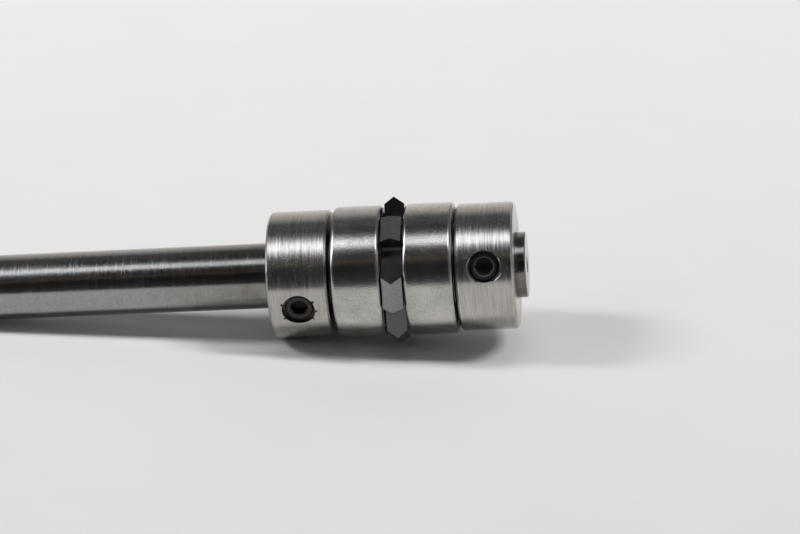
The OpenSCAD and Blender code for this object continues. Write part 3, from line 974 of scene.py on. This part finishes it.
def mouth_cutters(end):
    """What a drill clears above the screw, what deburring breaks at the edge, and the nicks there."""
    collar_r, lay = COLLAR[end][2], in_hole(end)
    over = collar_r + CUTTER_OVERRUN
    clear = SCREW_R + MOUTH_CLEAR[end]
    floor = SCREW_TIP_R + SCREW_LEN - CLEAR_BELOW
    yield turned_cutter("clearance", [(floor, 0), (floor, clear), (over, clear), (over, 0)], lay)
    if end == "nose":
        low, tip = collar_r - MOUTH_DEBURR, clear - DEBURR_INSET
        wide = tip + (over - low) * math.tan(math.radians(DEBURR_LEAN))
        section = [(low, 0), (low, tip), (over, wide), (over, 0)]
        yield turned_cutter("deburr", section, lay @ Matrix.Translation((0, -DEBURR_OFFSET * MM, 0)))
    half, flat = NICK_HALF, NICK_FLAT
    for angle in MOUTH_NICKS[end]:
        a, out = math.radians(angle), clear + NICK_OUT
        x, y = out * math.cos(a), out * math.sin(a)
        at = lay @ Matrix.Translation((x * MM, y * MM, math.sqrt(collar_r**2 - y**2) * MM))
        yield turned_cutter("nick", [(-half, 0), (-flat, half), (flat, half), (half, 0)], at, 14)


def make_collar(end):
    """A collar with its tapped hole."""
    x0, x1, r = COLLAR[end]
    bore = SHAFT_R + COLLAR_FIT
    c, b = COLLAR_CHAMFER, COLLAR_BORE_CHAMFER
    corners = [
        (x0, bore + b, 0), (x0, r - c, EDGE_BREAK), (x0 + c, r, EDGE_BREAK),
        (x1 - c, r, EDGE_BREAK), (x1, r - c, EDGE_BREAK), (x1, bore + b, 0),
        (x1 - b, bore, 0), (x0 + b, bore, 0),
    ]
    piece = turned_piece(f"{end}_turned_collar", corners, "turned_steel", steps=3)
    cut(piece, tap(end))
    for cutter in mouth_cutters(end):
        cut(piece, cutter)
    without_slivers(coated(piece.data, FINISH["turned_steel"]))
    smoothed(piece.data, angle=32)
    true_rim(piece.data, r)
    finish_piece(piece, f"{end}_clamp", f"{end}_collar")


def socket_cutters():
    """A hex key's socket: the hexagon over a drill's cone, then the lead-in that rounds its mouth."""
    corner = SOCKET_AF / 2 / math.cos(math.radians(30))
    top, lead = SCREW_LEN, SOCKET_LEAD
    floor, over = top - SOCKET_DEPTH, top + CUTTER_OVERRUN
    tip, walls = (floor - SOCKET_CONE, 0), [(z, corner) for z in (floor, top - lead, over)]
    yield turned_cutter("hexagon", [tip, *walls, (over, 0)], Matrix(), 6)
    low, high = top - 2 * lead, top + 2 * lead
    cone = [(low, 0), (low, corner - lead), (high, corner + 3 * lead), (high, 0)]
    yield turned_cutter("lead_in", cone, Matrix(), 64)


def make_set_screw(end):
    """A set screw: its thread, the cup at its tip and the socket in its head."""
    piece = grown(
        f"{end}_grub_screw", "thread", FINISH["black_oxide"],
        crest=SCREW_R * MM, root=(SCREW_R - THREAD_DEPTH) * MM, end=(SCREW_R - SCREW_CHAMFER) * MM,
        pitch=THREAD_PITCH * MM, length=SCREW_LEN * MM, start=0.0,
        around=THREAD_AROUND, along=SCREW_ROWS,
    )
    bm = bmesh.new()
    bm.from_mesh(piece.data)
    capped(bm)
    foot = min(bm.faces, key=lambda f: f.calc_center_median().z)
    bmesh.ops.inset_region(bm, faces=[foot], thickness=(SCREW_R - SCREW_CHAMFER - CUP_RIM / 2) * MM)
    bmesh.ops.poke(bm, faces=[foot])
    low = [v for v in bm.verts if v.co.z < SCREW_LEN * MM / 2]
    min(low, key=lambda v: v.co.x**2 + v.co.y**2).co.z += CUP_DEPTH * MM
    piece.data = meshed(bm, piece.name)
    for cutter in socket_cutters():
        cut(piece, cutter)
    coated(piece.data, FINISH["black_oxide"]).transform(in_hole(end, SCREW_TIP_R))
    without_slivers(piece.data)
    smoothed(piece.data, angle=30)
    finish_piece(piece, f"{end}_clamp_screw", f"{end}_set_screw")


# ---- ball bearings ----

OUTER_RACE = BALL_PITCH / 2 + BALL / 2 + BALL_FIT
INNER_RACE = BALL_PITCH / 2 - BALL / 2 - BALL_FIT
SHIELD_SEAT = OUTER_RACE + SHIELD_STEP
SNAP_SEAT = SHIELD_SEAT + SNAP_GROOVE


def race(middle, centre_r, shoulder_r, outer, steps=12):
    """Points across a ball's groove, from its rear shoulder to its front one."""
    side = 1 if outer else -1
    rise = (shoulder_r - centre_r) * side
    half = math.acos(max(-1.0, min(1.0, rise / RACE_RADIUS)))
    return [
        (middle + RACE_RADIUS * math.sin(a), centre_r + side * RACE_RADIUS * math.cos(a), 0)
        for a in (-half + 2 * half * k / steps for k in range(steps + 1))
    ]


def make_outer_ring(end):
    """The guide ring: rounded outside, with its race and a stepped seat at each face."""
    x0, x1, r = BEARING[end]
    seat = SHIELD_DEPTH + SHIELD_T
    groove = SHIELD_DEPTH - SNAP_GROOVE_WIDTH
    shoulder = OUTER_RACE - SHOULDER
    rear = [(x0, SHIELD_SEAT, EDGE_BREAK), (x0 + groove, SHIELD_SEAT, 0), (x0 + groove, SNAP_SEAT, 0),
            (x0 + SHIELD_DEPTH, SNAP_SEAT, 0), (x0 + SHIELD_DEPTH, SHIELD_SEAT, 0),
            (x0 + seat, SHIELD_SEAT, 0), (x0 + seat, shoulder, 0)]
    nose = [(x0 + x1 - x, radius, size) for x, radius, size in reversed(rear)]
    groove_points = race((x0 + x1) / 2, OUTER_RACE - RACE_RADIUS, shoulder, True)
    corners = rear + groove_points + nose + [(x1, r, RING_EDGE), (x0, r, RING_EDGE)]
    piece = turned_piece(f"{end}_guide_ring", corners, "bearing_steel", steps=10)
    finish_piece(piece, f"{end}_guide", f"{end}_outer_ring")


def make_inner_ring(end):
    """The ring that the stack clamps, with its race."""
    x0, x1, _ = BEARING[end]
    bore, shoulder, edge = bore_of(f"{end}_inner_ring"), INNER_RACE + SHOULDER, INNER_RING_EDGE
    corners = [(x0, bore, edge), (x0, shoulder, edge / 2)]
    corners += race((x0 + x1) / 2, INNER_RACE + RACE_RADIUS, shoulder, False)
    corners += [(x1, shoulder, edge / 2), (x1, bore, edge)]
    piece = turned_piece(f"{end}_race_ring", corners, "bearing_steel", steps=4)
    finish_piece(piece, "arbor", f"{end}_inner_ring")


def make_balls(end):
    """A bearing's balls, as one piece."""
    x0, x1, _ = BEARING[end]
    bm = bmesh.new()
    at = Matrix.Translation(((x0 + x1) / 2 * MM, 0, BALL_PITCH / 2 * MM))
    bmesh.ops.create_icosphere(bm, subdivisions=4, radius=BALL / 2 * MM, matrix=at)
    piece = grown(f"{end}_bearing_balls", "round_the_shaft", FINISH["bearing_steel"],
                  mesh=meshed(bm, "ball"), count=BALL_COUNT)
    piece.data.shade_smooth()
    finish_piece(piece, f"{end}_ball_set", f"{end}_balls")


def make_shield(end, side):
    """A pressed shield: a flat ring with a rolled bead near its bore."""
    node = f"{end}_{side}_shield"
    x0, x1, outer = reach(node)
    bore, edge, bend = bore_of(node), SHEET_EDGE, SHEET_BEND
    outward = (side == "outboard") == (end == "nose")
    face, back = (x1, x0) if outward else (x0, x1)
    sunk = face - BEAD_DEPTH if outward else face + BEAD_DEPTH
    mid = (bore + outer) / 2
    corners = [
        (face, outer, edge), (face, mid + BEAD_OUT[0], bend), (sunk, mid + BEAD_OUT[1], bend),
        (sunk, bore + BEAD_IN[0], bend), (face, bore + BEAD_IN[1], bend), (face, bore, edge),
        (back, bore, edge), (back, outer, edge),
    ]
    piece = turned_piece(f"{end}_{side}_cover", corners, "pressed_steel", steps=3, guard=0.01)
    finish_piece(piece, f"{end}_guide", node)


def make_snap_ring(end, side):
    """The open wire ring that holds a shield in its seat."""
    node = f"{end}_{side}_snap_ring"
    x0, x1, outer = reach(node)
    bore = bore_of(node)
    piece = grown(
        f"{end}_{side}_snap_wire", "open_ring", FINISH["pressed_steel"],
        radius=(outer + bore) / 2 * MM, width=(outer - bore) * MM, thickness=(x1 - x0) * MM,
        gap=math.radians(SNAP_OPENING),
    )
    lay = Matrix.Translation(((x0 + x1) / 2 * MM, 0, 0)) @ Matrix.Rotation(math.radians(90), 4, "Y")
    piece.data.transform(lay)
    smoothed(piece.data)
    finish_piece(piece, f"{end}_guide", node)


# ---- wheel ----

FILLET_STEPS, BORE_STEPS = 6, 16


def make_wheel():
    """One tooth's sector, from rake face to rake face, repeated round the shaft.

    Its outline is drawn in a plane across the shaft, with the rake face along the first axis.
    """
    x0, x1, tip_r = WHEEL
    half, mid = (x1 - x0) / 2, (x0 + x1) / 2
    step, relief = 2 * math.pi / TEETH, math.radians(RELIEF_ANGLE)
    ridge_h = tip_r * math.cos(relief)
    eave_h = ridge_h - half / math.tan(math.radians(V_ANGLE / 2))
    out = Vector((math.cos(step - relief), math.sin(step - relief)))
    on = Vector((-out.y, out.x))
    front = tip_r * math.sin(relief)
    ridge_tip = out * ridge_h + on * front
    ridge_heel = out * ridge_h - on * (LAND - front)
    eave_tip = ridge_tip * (eave_h / ridge_h)
    root = Vector((ROOT_D / 2, 0))
    slope = (ridge_heel - root).normalized()
    eave_heel = root + slope * ((eave_h - root.dot(out)) / slope.dot(out))
    rake = Vector((1, 0))
    opening = rake.angle(slope)
    reach_in = ROOT_FILLET / math.tan(opening / 2)
    centre = root + (rake + slope).normalized() * ROOT_FILLET / math.sin(opening / 2)
    fillet = []
    for k in range(FILLET_STEPS + 1):
        a = -math.pi / 2 - (math.pi - opening) * k / FILLET_STEPS
        fillet.append(centre + ROOT_FILLET * Vector((math.cos(a), math.sin(a))))
    bore_r = bore_of("v_wheel")
    angles = [step * k / BORE_STEPS for k in range(BORE_STEPS + 1)]
    bore = [Vector((math.cos(a), math.sin(a))) * bore_r for a in angles]
    next_root = Matrix.Rotation(step, 2) @ (root + rake * reach_in)

    base = math.radians(WHEEL_TURN)
    bm = bmesh.new()

    def at(point, x):
        c, s = point
        return bm.verts.new((
            (mid + x) * MM,
            -(c * math.sin(base) + s * math.cos(base)) * MM,
            (c * math.cos(base) - s * math.sin(base)) * MM,
        ))

    outline = [*fillet, eave_heel, eave_tip, next_root, *reversed(bore)]
    sides = [[at(p, x) for p in outline] for x in (-half, half)]
    top_heel, top_tip = at(ridge_heel, 0), at(ridge_tip, 0)
    for side in sides:
        bm.faces.new(side)
    n = len(fillet)
    one, two = sides
    for k in range(n - 1):
        bm.faces.new((one[k], one[k + 1], two[k + 1], two[k]))
    bm.faces.new((one[n - 1], one[n], top_heel, two[n], two[n - 1]))
    bm.faces.new((one[n], one[n + 1], top_tip, top_heel))
    bm.faces.new((two[n], two[n + 1], top_tip, top_heel))
    bm.faces.new((one[n + 1], one[n + 2], two[n + 2], two[n + 1], top_tip))
    for k in range(n + 3, len(outline) - 1):
        bm.faces.new((one[k], one[k + 1], two[k + 1], two[k]))
    piece = grown("v_edged_wheel", "round_the_shaft", FINISH["tool_steel"],
                  mesh=meshed(bm, "tooth"), count=TEETH)
    bm = bmesh.new()
    bm.from_mesh(piece.data)
    piece.data = meshed(bm, "v_edged_wheel")
    piece.data.materials.append(FINISH["tool_steel"])
    bevel = piece.modifiers.new("edge_break", "BEVEL")
    bevel.width, bevel.segments, bevel.limit_method = TOOTH_EDGE_BREAK * MM, 2, "ANGLE"
    bevel.angle_limit = math.radians(TOOTH_EDGE_ANGLE)
    bevel.harden_normals = True
    applied(piece)
    smoothed(piece.data, angle=12)
    finish_piece(piece, "arbor", "v_wheel")


# ---- shims and what stays from the frame ----


def make_shim(node):
    """A plain washer."""
    x0, x1, outer = reach(node)
    bore, edge = bore_of(node), SHEET_EDGE
    corners = [(x0, bore, edge), (x0, outer, edge), (x1, outer, edge), (x1, bore, edge)]
    piece = turned_piece(f"{node}_washer", corners, "shim_steel", steps=3, guard=0.01)
    finish_piece(piece, "arbor", node)


make_shaft()
make_wheel()
for end in ("rear", "nose"):
    make_collar(end)
    make_set_screw(end)
    make_outer_ring(end)
    make_inner_ring(end)
    make_balls(end)
    for side in ("outboard", "inboard"):
        make_shield(end, side)
        make_snap_ring(end, side)
    for node in (f"{end}_shim", f"{end}_wheel_shim"):
        make_shim(node)
    coated(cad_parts[f"{end}_cage"].data, FINISH["pressed_steel"])
